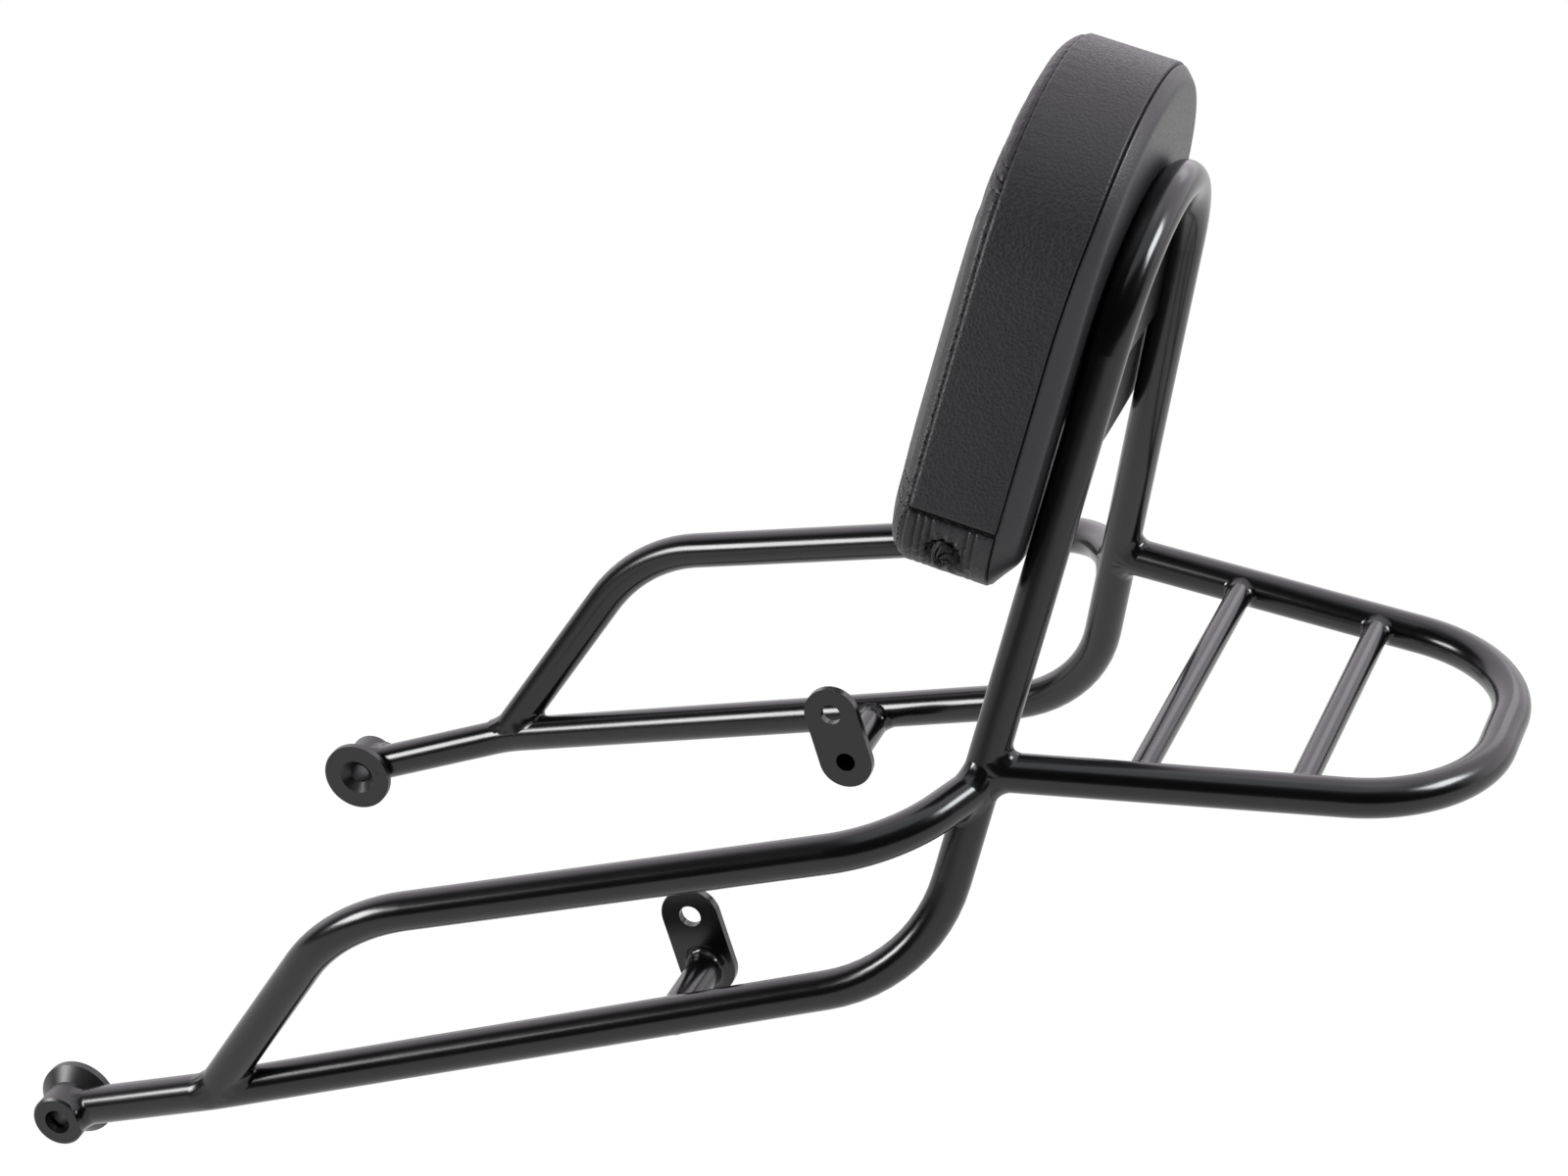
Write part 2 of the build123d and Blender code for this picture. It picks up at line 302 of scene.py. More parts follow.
# Stage and light
WHITE = (1.0, 1.0, 1.0)
COOL = (0.93, 0.96, 1.0)
FLOOR_DROP = 0.28
FLOOR_REACH = 14.0
FLOOR_COLOUR = (0.92, 0.92, 0.92)
GLOW_NEAR = 0.86
GLOW_DISTANCES = (0.45, 1.0)
AMBIENT = (0.42, 0.42, 0.43)
FRONT_COLOUR = (0.020, 0.020, 0.021)
CEILING_COLOUR = (0.40, 0.41, 0.44)
REAR_COLOUR = (1.75, 1.66, 1.77)
CEILING_HEIGHTS = (0.72, 0.95)
REAR_REACH = (-0.1, 0.5)
SHARP_ANGLE = math.radians(32)

# Lamps: name, direction from the part's middle, distance, size, power in watts and tint
LAMPS = (
    ("side_box", (-0.788, -0.512, 0.342), 2.2, (0.85, 0.70), 42.0, WHITE),
    ("window_box", (0.77, 0.05, 0.64), 2.2, (0.90, 0.65), 40.0, (0.94, 0.97, 1.0)),
    ("front_window", (-0.55, -0.71, 0.43), 2.2, (0.20, 0.32), 1.8, WHITE),
    ("far_box", (0.22, 0.85, 0.48), 2.2, (0.80, 0.50), 2.0, COOL),
    ("top_box", (0.10, -0.15, 1.0), 1.7, (1.6, 1.4), 6.0, COOL),
)

# Slots of the carried-over nodes that are not bare frame
SLOTS = {
    "pad_screws": "black_screws",
    "pad_tee_nuts": "fasteners",
    "pad_front_cover": "black_vinyl",
    "pad_side_boxing": "black_vinyl",
    "pad_bottom_boxing": "black_vinyl",
    "pad_back_cover": "black_vinyl",
    "pad_foam": "foam",
    "pad_base_board": "board",
}

# Pieces whose machined faces give the coat a satin look
SATIN_PIECES = ("_front_spool",)


# Small helpers
def add_object(name, vertices, faces, material, smooth=True):
    """A mesh object made from vertices and faces, with its faces turned outward."""
    mesh = bpy.data.meshes.new(name)
    mesh.from_pydata([tuple(v) for v in vertices], [], [tuple(f) for f in faces])
    mesh.validate()
    made = bmesh.new()
    made.from_mesh(mesh)
    bmesh.ops.recalc_face_normals(made, faces=made.faces)
    made.to_mesh(mesh)
    made.free()
    mesh.polygons.foreach_set("use_smooth", [smooth] * len(mesh.polygons))
    mesh.materials.append(material)
    piece = bpy.data.objects.new(name, mesh)
    bpy.context.scene.collection.objects.link(piece)
    return piece


def grid_faces(rows, columns, closed, start=0):
    """Quads of a grid whose points are numbered by rows. A closed grid joins its last column to its first."""
    faces = []
    for row in range(rows - 1):
        for column in range(columns if closed else columns - 1):
            after = (column + 1) % columns
            low, high = start + row * columns, start + (row + 1) * columns
            faces.append((low + column, low + after, high + after, high + column))
    return faces


def bell(distance, width):
    """A smooth bump of height 1 and a given half width."""
    return np.exp(-((distance / width) ** 2))


# Nodes of materials and of the world
def feed(links, value, socket):
    """Gives a socket a value, or links another node's output to it."""
    if isinstance(value, bpy.types.NodeSocket):
        links.new(value, socket)
    else:
        socket.default_value = value


def calculate(nodes, links, operation, *values):
    """One step of arithmetic on numbers and other nodes' outputs."""
    step = nodes.new("ShaderNodeMath")
    step.operation = operation
    for value, socket in zip(values, step.inputs):
        feed(links, value, socket)
    return step.outputs["Value"]


def blend_colours(nodes, links, factor, first, second):
    """A colour between two, by a factor. Each is a colour of three parts or another node's output."""
    mix = nodes.new("ShaderNodeMix")
    mix.data_type = "RGBA"
    links.new(factor, mix.inputs["Factor"])
    for colour, name in ((first, "A"), (second, "B")):
        is_node = isinstance(colour, bpy.types.NodeSocket)
        feed(links, colour if is_node else (*colour, 1.0), mix.inputs[name])
    return mix.outputs["Result"]


def remap(nodes, links, source, low, high):
    """A factor from 0 to 1 brought to a range."""
    spread = nodes.new("ShaderNodeMapRange")
    spread.inputs["To Min"].default_value = low
    spread.inputs["To Max"].default_value = high
    links.new(source, spread.inputs["Value"])
    return spread.outputs["Result"]


def smooth_share(nodes, links, source, low, high, start=0.0):
    """A factor that goes smoothly from its start to 1 while a value goes from low to high."""
    share = nodes.new("ShaderNodeMapRange")
    share.interpolation_type = "SMOOTHSTEP"
    share.inputs["From Min"].default_value = low
    share.inputs["From Max"].default_value = high
    share.inputs["To Min"].default_value = start
    links.new(source, share.inputs["Value"])
    return share.outputs["Result"]


def ray_kinds(nodes, links):
    """Whether a ray comes from the camera, and whether it comes from a reflection or through glass."""
    path = nodes.new("ShaderNodeLightPath")
    glossy = path.outputs["Is Glossy Ray"]
    through = path.outputs["Is Transmission Ray"]
    return path.outputs["Is Camera Ray"], calculate(nodes, links, "MAXIMUM", glossy, through)


# Materials
def new_material(name, colour, **settings):
    """A Principled material and its nodes."""
    material = bpy.data.materials.new(name)
    material.use_nodes = True
    nodes = material.node_tree.nodes
    shader = nodes["Principled BSDF"]
    shader.inputs["Base Color"].default_value = (*colour, 1.0)
    for setting, value in settings.items():
        shader.inputs[setting].default_value = value
    return material, nodes, material.node_tree.links, shader


def place_texture(nodes, links, kind, **settings):
    """A procedural texture in the object's own coordinates, with a scale in features per metre."""
    where = nodes.new("ShaderNodeTexCoord")
    texture = nodes.new(kind)
    for name, value in settings.items():
        texture.inputs[name].default_value = value
    links.new(where.outputs["Object"], texture.inputs["Vector"])
    return texture


def place_noise(nodes, links, scale, detail):
    """A cloudy texture."""
    return place_texture(nodes, links, "ShaderNodeTexNoise", Scale=scale, Detail=detail)


def mottled(nodes, links, cloud, colour, spread):
    """A colour that gets darker and lighter in clouds."""
    dark = [(1 - spread) * part for part in colour]
    light = [(1 + spread) * part for part in colour]
    return blend_colours(nodes, links, cloud.outputs["Fac"], dark, light)


def add_bump(nodes, links, shader, height, strength, distance, under=None):
    """A bump on the shader, laid over another bump where there is one."""
    bump = nodes.new("ShaderNodeBump")
    bump.inputs["Strength"].default_value = strength
    bump.inputs["Distance"].default_value = distance
    links.new(height, bump.inputs["Height"])
    if under is not None:
        links.new(under.outputs["Normal"], bump.inputs["Normal"])
    links.new(bump.outputs["Normal"], shader.inputs["Normal"])
    return bump


def powder_coat(name, colour, smoothest, roughest):
    """Black powder coat with a slight orange peel."""
    material, nodes, links, shader = new_material(name, colour, Roughness=roughest)
    cloud = place_noise(nodes, links, COAT_CLOUDS, CLOUD_DETAIL)
    links.new(remap(nodes, links, cloud.outputs["Fac"], smoothest, roughest), shader.inputs["Roughness"])
    links.new(mottled(nodes, links, cloud, colour, COAT_MOTTLE), shader.inputs["Base Color"])
    peel = place_noise(nodes, links, PEEL, PEEL_DETAIL)
    add_bump(nodes, links, shader, peel.outputs["Fac"], PEEL_STRENGTH, PEEL_HEIGHT)
    return material


def vinyl(name, colour, grain_strength, smoothest, roughest):
    """Black vinyl with a pebble grain, which darkens and dulls along the seams as painted shade."""
    material, nodes, links, shader = new_material(name, colour, Roughness=roughest)
    wander = place_noise(nodes, links, GRAIN_WANDER, PORE_DETAIL)
    grain = place_texture(nodes, links, "ShaderNodeTexVoronoi", Scale=GRAIN, Randomness=GRAIN_RANDOMNESS)
    grain.feature = "SMOOTH_F1"
    grain.inputs["Smoothness"].default_value = GRAIN_SMOOTHNESS
    shift = nodes.new("ShaderNodeVectorMath")
    shift.operation = "MULTIPLY_ADD"
    shift.inputs[1].default_value = (GRAIN_SHIFT,) * 3
    links.new(wander.outputs["Color"], shift.inputs[0])
    links.new(grain.inputs["Vector"].links[0].from_socket, shift.inputs[2])
    links.new(shift.outputs["Vector"], grain.inputs["Vector"])
    pores = place_noise(nodes, links, PORES, PORE_DETAIL)
    cloud = place_noise(nodes, links, VINYL_CLOUDS, CLOUD_DETAIL)
    tint = mottled(nodes, links, cloud, colour, VINYL_MOTTLE)
    # painted shade: the seam attribute darkens the colour and turns the shine off
    shade = nodes.new("ShaderNodeAttribute")
    shade.attribute_name = SEAM_SHADE
    dark = shade.outputs["Fac"]
    links.new(blend_colours(nodes, links, dark, tint, PAINTED_SEAM_SHADE_COLOUR), shader.inputs["Base Color"])
    links.new(remap(nodes, links, dark, VINYL_SPECULAR, 0.0), shader.inputs["Specular IOR Level"])
    pits = grain.outputs["Distance"]
    links.new(remap(nodes, links, pits, smoothest, roughest), shader.inputs["Roughness"])
    pebbles = calculate(nodes, links, "SUBTRACT", 1.0, pits)
    fine = add_bump(nodes, links, shader, pores.outputs["Fac"], PORE_SHARE * grain_strength, PORE_HEIGHT)
    add_bump(nodes, links, shader, pebbles, grain_strength, GRAIN_HEIGHT, fine)
    return material


def stock(name):
    """A material of one texture: sewing thread, zinc plate, cut foam or birch plywood."""
    look = STOCK[name]
    material, nodes, links, shader = new_material(name, look["colour"], **look["inputs"])
    pattern = place_texture(nodes, links, look["texture"], **look["settings"]).outputs[look["output"]]
    if "roughnesses" in look:
        links.new(remap(nodes, links, pattern, *look["roughnesses"]), shader.inputs["Roughness"])
    tint = blend_colours(nodes, links, pattern, look["dark"], look["light"])
    links.new(tint, shader.inputs["Base Color"])
    add_bump(nodes, links, shader, pattern, *look["bump"])
    return material


def dress_frame(materials, satin):
    """The carried-over nodes take the material of their slot, smooth with sharp edges."""
    for name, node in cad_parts.items():
        slot = SLOTS.get(name, "black_frame")
        node.data.materials.clear()
        node.data.materials.append(satin if name.endswith(SATIN_PIECES) else materials[slot])
        node.data.polygons.foreach_set("use_smooth", [True] * len(node.data.polygons))
        edges = node.modifiers.new("edges", "EDGE_SPLIT")
        edges.split_angle = SHARP_ANGLE


# Welds
def upright_at(height):
    """A point of the left upright's centre line."""
    rise = (height - FOOT.z) / math.cos(LEAN)
    return Vector((FOOT.x + rise * math.sin(LEAN), FOOT.y + rise * math.tan(TAPER), height))


def lower_rail_at(x):
    """A point of the left lower rail's centre line."""
    return KINK.lerp(FOOT, (x - KINK.x) / (FOOT.x - KINK.x))


def rack_at(x):
    """A point of the rack's left tube."""
    start = upright_at(RACK_Z)
    return start.lerp(RACK_CORNER, (x - start.x) / (RACK_CORNER.x - start.x))


def seat_curve(joint, out, branch_r, run, run_r, reach, through=None):
    """Where a round branch meets a round run, as points with the two outward normals, and the two tubes.

    The run's axis passes through the joint, unless another point of it is given.
    """
    through = through or joint
    out = out.normalized()
    run = run.normalized()
    first = out.orthogonal().normalized()
    second = out.cross(first)
    curve = []
    for step in range(WELD_STEPS):
        turn = 2 * math.pi * step / WELD_STEPS
        around = first * math.cos(turn) + second * math.sin(turn)
        edge = joint - through + around * branch_r
        across_out = out - run * out.dot(run)
        across_edge = edge - run * edge.dot(run)
        a = across_out.length_squared
        # an edge that would pass beside the run is drawn in until it meets the run
        beside = across_edge - across_out * (across_edge.dot(across_out) / a)
        past = max(0.0, beside.length - SEAT_LIMIT * run_r)
        edge -= beside.normalized() * past
        across_edge -= beside.normalized() * past
        # distance from the run's axis is run_r where a quadratic in the length along the branch is zero
        b = 2 * across_out.dot(across_edge)
        c = across_edge.length_squared - run_r**2
        length = (-b + math.sqrt(max(b * b - 4 * a * c, 0))) / (2 * a)
        away = edge + out * length
        curve.append((through + away, around, (away - run * away.dot(run)).normalized()))
    return curve, (joint, out, branch_r), (through, run, run_r), reach


def plate_curve(centre, axis, radius, reach):
    """A circle where a round bar stands on a flat plate, like the curve of two tubes."""
    axis = axis.normalized()
    first = axis.orthogonal().normalized()
    second = axis.cross(first)
    turns = [2 * math.pi * step / WELD_STEPS for step in range(WELD_STEPS)]
    arounds = [first * math.cos(turn) + second * math.sin(turn) for turn in turns]
    curve = [(centre + around * radius, around, axis) for around in arounds]
    return curve, (centre, axis, radius), None, reach


def onto_tube(point, tube):
    """A point moved straight to just under a round tube's surface."""
    through, axis, radius = tube
    away = point - through
    along = axis * away.dot(axis)
    return through + along + (away - along).normalized() * (radius - WELD_SINK)


def weld(curve, branch, run, reach, phase):
    """Vertices and faces of a filleted weld along a closed curve, with a slight ripple."""
    count = len(curve)
    length = sum((curve[i][0] - curve[i - 1][0]).length for i in range(count))
    ripples = round(length / WELD_PITCH)
    vertices = []
    for step, (point, one, other) in enumerate(curve):
        along = (curve[(step + 1) % count][0] - curve[step - 1][0]).normalized()
        up_branch = along.cross(one)
        up_branch = up_branch if up_branch.dot(other) > 0 else -up_branch
        over_run = along.cross(other)
        over_run = over_run if over_run.dot(one) > 0 else -over_run
        angle = 2 * math.pi * step / count
        wander = 1 + WELD_WANDER * math.sin(2 * angle + phase)
        ripple = WELD_FULLNESS + WELD_RIPPLE * math.cos(ripples * angle + phase)
        start = onto_tube(point + up_branch * reach * wander, branch)
        end = point + over_run * reach * wander
        end = onto_tube(end, run) if run else end - other * WELD_SINK
        top = point + (one + other) * reach * ripple
        for share in np.linspace(0, 1, WELD_POINTS):
            vertices.append(start * (1 - share) ** 2 + top * 2 * share * (1 - share) + end * share**2)
        vertices.append(point - (one + other) * reach * WELD_FULLNESS)
    sides = WELD_POINTS + 1
    faces = grid_faces(count, sides, True)
    last = (count - 1) * sides
    for side in range(sides):
        after = (side + 1) % sides
        faces.append((last + side, last + after, after, side))
    return vertices, faces


def welds(coat):
    """Every weld of the frame, mirrored about the middle plane."""
    upright = upright_at(RACK_Z) - FOOT
    lower = FOOT - KINK
    rail_joint = upright_at(RAIL_JOINT_Z)
    rack_joint = upright_at(RACK_Z)
    rack_side = RACK_CORNER - rack_joint
    stub_rail = lower_rail_at(TAB_X)
    stub_foot = stub_rail - Vector((0, 0, TAB_DROP))
    stub_end = Vector((stub_foot.x, -TAB_BACK_HALF, stub_foot.z))
    inward = Vector((0, 1, 0))
    curves = [
        seat_curve(KINK, RAIL_FRONT - KINK, TUBE_R, lower, TUBE_R, WELD_REACH),
        seat_curve(rail_joint, RAIL_REAR - rail_joint, TUBE_R, upright, TUBE_R, WELD_REACH),
        seat_curve(rack_joint, rack_side, TUBE_R, upright, TUBE_R, WELD_REACH),
        seat_curve(SPOOL, KINK - SPOOL, TUBE_R, inward, SPOOL_R, STUB_WELD_REACH),
        seat_curve(stub_foot, inward, STUB_R, lower, TUBE_R, STUB_WELD_REACH, stub_rail),
        plate_curve(stub_end, -inward, STUB_R, STUB_WELD_REACH),
    ]
    for x in RACK_BAR_XS:
        curves.append(seat_curve(rack_at(x), inward, BAR_R, rack_side, TUBE_R, BAR_WELD_REACH))
    vertices = []
    faces = []
    for number, (curve, branch, run, reach) in enumerate(curves):
        made, quads = weld(curve, branch, run, reach, number)
        for side in (1, -1):
            start = len(vertices)
            vertices += [Vector((v.x, side * v.y, v.z)) for v in made]
            faces += [tuple(start + i for i in quad) for quad in quads]
    piece = add_object("welds", vertices, faces, coat)
    edges = piece.modifiers.new("edges", "EDGE_SPLIT")
    edges.split_angle = WELD_SHARP_ANGLE
    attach(piece, BODY)


# Pad cover
def pad_outline(inset, count):
    """Even (sideways, height) points of the pad's outline, from the bottom's middle round the left side."""
    radius = PAD_ARCH_R - inset
    bottom = PAD_BOTTOM + inset
    corner = PAD_CORNER_R
    shoulder = PAD_ARCH_CENTRE + radius * math.sin(TAPER)
    foot = radius * math.cos(TAPER) + (shoulder - bottom) * math.tan(TAPER)
    reach = corner / math.tan((math.pi / 2 - TAPER) / 2)
    low = np.linspace(math.pi * 3 / 2, math.pi - TAPER, CORNER_POINTS)
    high = np.linspace(math.pi - TAPER, math.pi / 2, ARCH_POINTS)
    left = np.vstack([
        [(0, bottom)],
        np.c_[-foot + reach + corner * np.cos(low), bottom + corner + corner * np.sin(low)],
        np.c_[radius * np.cos(high), PAD_ARCH_CENTRE + radius * np.sin(high)],
    ])
    whole = np.vstack([left, left[-2::-1] * (-1, 1)])
    steps = np.r_[0, np.cumsum(np.linalg.norm(np.diff(whole, axis=0), axis=1))]
    places = steps[-1] * np.arange(count) / count
    return np.c_[np.interp(places, steps, whole[:, 0]), np.interp(places, steps, whole[:, 1])]


def in_frame(sideways, height, depth):
    """Points of the hoop's plane in the frame."""
    parts = [np.asarray(part)[..., None] for part in (sideways, height, depth)]
    return PLANE_ORIGIN + parts[0] * SIDEWAYS + parts[1] * PLANE_UP + parts[2] * PLANE_AHEAD


def on_plane(points):
    """Sideways, height and depth of points of the frame."""
    from_origin = points - PLANE_ORIGIN
    return from_origin @ SIDEWAYS, from_origin @ PLANE_UP, from_origin @ PLANE_AHEAD


def disc_grid(outline):
    """The (sideways, height) points of a square grid that is stretched over an outline."""
    cells = SIDE_CELLS
    count = 4 * cells
    line = np.linspace(-1, 1, cells + 1)
    x, y = np.meshgrid(line, line, indexing="ij")
    ring = np.maximum(abs(x), abs(y))
    safe = np.where(ring > 0, ring, 1)
    a, b = x / safe, y / safe
    place = np.select(
        [(b <= -1) & (a <= 0), a <= -1, b >= 1, a >= 1],
        [-a, 2 + b, 4 + a, 6 - b],
        8 - a,
    ) * cells / 2
    closed = np.vstack([outline, outline[:1]])
    spots = np.arange(count + 1)
    edge = np.stack([np.interp(place, spots, closed[:, axis]) for axis in (0, 1)], axis=-1)
    middle = np.array((0, PAD_MIDDLE))
    return middle + ring[..., None] * (edge - middle)


def inset_of(points, outline):
    """Distance of (sideways, height) points from an outline."""
    flat = points.reshape(-1, 2)
    gaps = [np.min(np.hypot(*(outline - point).T)) for point in flat]
    return np.array(gaps).reshape(points.shape[:-1])


def crown(inset, height):
    """How far the front panel stands ahead of its seam."""
    share = np.clip(inset / CROWN_RUN, 0, 1)
    return height * np.sqrt(1 - (1 - share) ** 2)


def border_index():
    """Grid places of the disc's border, in order round the outline."""
    cells = SIDE_CELLS
    half = cells // 2
    bottom_left = [(i, 0) for i in range(half, 0, -1)]
    left = [(0, j) for j in range(0, cells)]
    top = [(i, cells) for i in range(0, cells)]
    right = [(cells, j) for j in range(cells, 0, -1)]
    bottom_right = [(i, 0) for i in range(cells, half, -1)]
    return bottom_left + left + top + right + bottom_right


def rear_seam(height):
    """Depth of the seam between the boxing and the back panel, at a height of the pad."""
    low, high = REAR_SEAM_HEIGHTS
    share = np.clip((height - low) / (high - low), 0, 1)
    return REAR_SEAM_LOW + (REAR_SEAM_HIGH - REAR_SEAM_LOW) * share * share * (3 - 2 * share)


def back_depth(sideways, height, inset):
    """Depth of the back panel: a slanting band along its seam, then a flat, pressed in on the boss."""
    corner = np.clip(abs(sideways) / CORNER_SIZE[0], 0, 1) ** 2 * bell(height - PAD_BOTTOM, CORNER_SIZE[1])
    band = rear_seam(height) - BAND_SLOPE * (1 - CORNER_EASE * corner) * inset
    depth = (band + BACK_DEPTH + np.hypot(band - BACK_DEPTH, BAND_ROUND)) / 2
    beside = abs(sideways) - BOSS_SIZE[0] / 2
    above = abs(height - BOSS_MIDDLE) - BOSS_SIZE[1] / 2
    away = np.hypot(np.clip(beside, 0, None), np.clip(above, 0, None))
    pressed = bell(away, BOSS_BLEND)
    return np.maximum(depth, depth + (BOSS_FRONT - depth) * pressed)


def rough_cover():
    """The pad's closed cover before it swells: the front grid, the boxing's rows and the back grid."""
    count = 4 * SIDE_CELLS
    outline = pad_outline(0, count)
    flat = disc_grid(outline)
    inset = inset_of(flat, pad_outline(0, OUTLINE_STEPS * count))
    depth = FRONT_SEAM_DEPTH + crown(inset, START_CROWN * PAD_CROWN)
    front = in_frame(flat[..., 0], flat[..., 1], depth)
    back = in_frame(flat[..., 0], flat[..., 1], back_depth(flat[..., 0], flat[..., 1], inset))
    rows = []
    for share in np.linspace(0, 1, BOXING_ROWS + 1):
        depth = FRONT_SEAM_DEPTH + share * (rear_seam(outline[:, 1]) - FRONT_SEAM_DEPTH)
        rows.append(in_frame(outline[:, 0], outline[:, 1], depth))
    return front, np.array(rows), back


def swell(front, boxing, back, cover):
    """The cover blown up by its filling: cloth with pressure, held at the seams and at the back."""
    side = SIDE_CELLS + 1
    border = [i * side + j for i, j in border_index()]
    rows, columns = boxing.shape[:2]
    start = side * side
    between = start + np.arange((rows - 2) * columns).reshape(rows - 2, columns)
    behind = start + between.size
    vertices = np.vstack([front.reshape(-1, 3), boxing[1:-1].reshape(-1, 3), back.reshape(-1, 3)])
    faces = grid_faces(side, side, False) + grid_faces(side, side, False, behind)
    ring = np.vstack([border, between, [behind + i for i in border]])
    for row in range(rows - 1):
        for column in range(columns):
            after = (column + 1) % columns
            low, high = ring[row], ring[row + 1]
            faces.append((low[column], low[after], high[after], high[column]))
    cloth = add_object("cover_cloth", vertices, faces, cover)
    held = cloth.vertex_groups.new(name="held")
    moving = set(range(start)) - set(border)
    moving |= set(between[:-1].ravel().tolist())
    held.add([i for i in range(len(vertices)) if i not in moving], 1.0, "REPLACE")
    settings = cloth.modifiers.new("swell", "CLOTH").settings
    settings.vertex_group_mass = "held"
    settings.use_pressure = True
    settings.uniform_pressure_force = CLOTH_PRESSURE
    settings.effector_weights.gravity = 0.0
    settings.mass = CLOTH_MASS
    settings.quality = CLOTH_QUALITY
    scene = bpy.context.scene
    for number in range(1, CLOTH_FRAMES + 1):
        scene.frame_set(number)
    shaped = cloth.evaluated_get(bpy.context.evaluated_depsgraph_get()).to_mesh()
    found = np.zeros(len(vertices) * 3)
    shaped.vertices.foreach_get("co", found)
    scene.frame_set(1)
    mesh = cloth.data
    bpy.data.objects.remove(cloth)
    bpy.data.meshes.remove(mesh)
    moved = found.reshape(-1, 3) - vertices
    caps = np.where(np.arange(len(vertices)) < start, FRONT_CAP, BOXING_CAP)[:, None]
    lengths = np.linalg.norm(moved, axis=1, keepdims=True)
    vertices = vertices + moved * caps / (caps + lengths)
    front = vertices[:start].reshape(side, side, 3)
    return front, vertices[ring]


def denser(points, axis, closed, times):
    """Points on smooth curves through a grid's points, along one axis and crowded at its open ends."""
    grid = np.moveaxis(points, axis, 0)
    count = len(grid)
    steps = np.arange(count * times if closed else (count - 1) * times + 1) / times
    if not closed:
        turns = 2 * math.pi * steps / (count - 1)
        steps = steps - (count - 1) * CROWDING * np.sin(turns) / (2 * math.pi)
    left = np.clip(np.floor(steps).astype(int), 0, count - 1 if closed else count - 2)
    part = (steps - left)[:, None, None]
    if closed:
        a, b, c, d = (grid[(left + k) % count] for k in (-1, 0, 1, 2))
    else:
        a, b, c, d = (grid[np.clip(left + k, 0, count - 1)] for k in (-1, 0, 1, 2))
    cubic = 3 * (b - c) + d - a
    square = 2 * a - 5 * b + 4 * c - d
    smooth = b + 0.5 * part * (c - a + part * (square + part * cubic))
    return np.moveaxis(smooth, 0, axis)


def pad_middle():
    """A point inside the pad."""
    return in_frame(0.0, PAD_MIDDLE, (BACK_DEPTH + FRONT_SEAM_DEPTH) / 2)


def grid_normals(points, closed):
    """Outward normals of a grid of points, away from the pad's middle."""
    if closed:
        along = np.roll(points, -1, axis=1) - np.roll(points, 1, axis=1)
    else:
        along = np.gradient(points, axis=1)
    normals = np.cross(np.gradient(points, axis=0), along)
    normals /= np.linalg.norm(normals, axis=2, keepdims=True) + NO_LENGTH
    facing = np.sign(np.sum(normals * (points - pad_middle()), axis=2, keepdims=True))
    return normals * facing


def puckers(run, distance):
    """Small gathers beside a seam, which die out away from it."""
    turn = 2 * math.pi * run / PUCKER_PITCH
    wave = np.sin(turn + PUCKER_SWAY * np.sin(turn / PUCKER_SWAY_PITCHES))
    return PUCKER * wave * np.exp(-distance / PUCKER_REACH)


def front_relief(inset, run, height):
    """Rise of the front panel's surface: its sewn edge and the two cross seams."""
    rise = -SEAM_DEPTH * bell(inset, SEAM_WIDTH) + puckers(run, inset)
    for seam in CROSS_SEAMS:
        away = abs(height - seam)
        rise = rise - CROSS_SEAM_DEPTH * bell(away, DIMPLE_WIDTH)
        rise = rise - STITCH_DIMPLE * bell(away - CROSS_STITCH_GAP, DIMPLE_WIDTH)
    return rise


def boxing_places(sideways, height):
    """Distances below the side seam, which places are on a side, and how full the pleats are there."""
    below = (SIDE_SEAM_HEIGHT - height) / math.cos(TAPER)
    on_side = abs(sideways) > PAD_ARCH_R / 2
    fullness = bell(below, PLEAT_REACH) * np.clip(below / PLEAT_START, 0, 1)
    return below, on_side, fullness


def boxing_relief(depth, run, sideways, height):
    """Rise of the boxing's surface: sewn edges, side seams, pleats and the gathers round the knots."""
    from_front = abs(FRONT_SEAM_DEPTH - depth)
    rise = -SEAM_DEPTH * bell(from_front, SEAM_WIDTH) + puckers(run, from_front)
    rise = rise - REAR_SEAM_DEPTH * bell(depth - rear_seam(height), REAR_SEAM_WIDTH)
    below, on_side, fullness = boxing_places(sideways, height)
    seam = -SIDE_SEAM_DEPTH * bell(below, DIMPLE_WIDTH)
    pleats = -sum(PLEAT_DEPTH * bell(depth - place, PLEAT_WIDTH) for place in PLEATS) * fullness
    gathered = np.where(below > 0, pleats + knot_gathers(depth, below), 0)
    return rise + np.where(on_side, seam + gathered, 0)


def boxing_painted_shade(depth, sideways, height):
    """Painted shade on the boxing's seams, pleats and the trenches round the knots, from 0 to 1."""
    below, on_side, fullness = boxing_places(sideways, height)
    pleats = sum(bell(depth - place, PLEAT_WIDTH) for place in PLEATS) * fullness * PLEAT_SHADE
    from_knot = np.hypot(depth - KNOT_DEPTH, below - KNOT_DROP)
    knotted = KNOT_SHADE * bell(from_knot - KNOT_R, KNOT_TRENCH_WIDTH)
    behind = REAR_SHADE * bell(depth - rear_seam(height), SEAM_LINE)
    on_edges = np.maximum(bell(FRONT_SEAM_DEPTH - depth, SEAM_LINE), behind)
    across = np.maximum(bell(below, SIDE_SEAM_LINE), np.maximum(pleats, knotted))
    return np.maximum(on_edges, np.where(on_side, across, 0))


def knot_gathers(depth, below):
    """Folds that run into the knot from all round it, and the trench round it, which is deepest above it."""
    across = depth - KNOT_DEPTH
    down = below - KNOT_DROP
    away = np.hypot(across, down)
    turn = np.arctan2(down, across)
    wave = np.sin(2 * KNOT_LOBES * turn + np.sin(2 * turn))
    folds = KNOT_GATHER * wave * bell(away - KNOT_GATHER_RING, KNOT_R / 2)
    above = (1 - np.sin(turn)) / 2
    return folds - KNOT_TRENCH * (KNOT_TRENCH_LEAST + above) * bell(away - KNOT_R, KNOT_TRENCH_WIDTH)


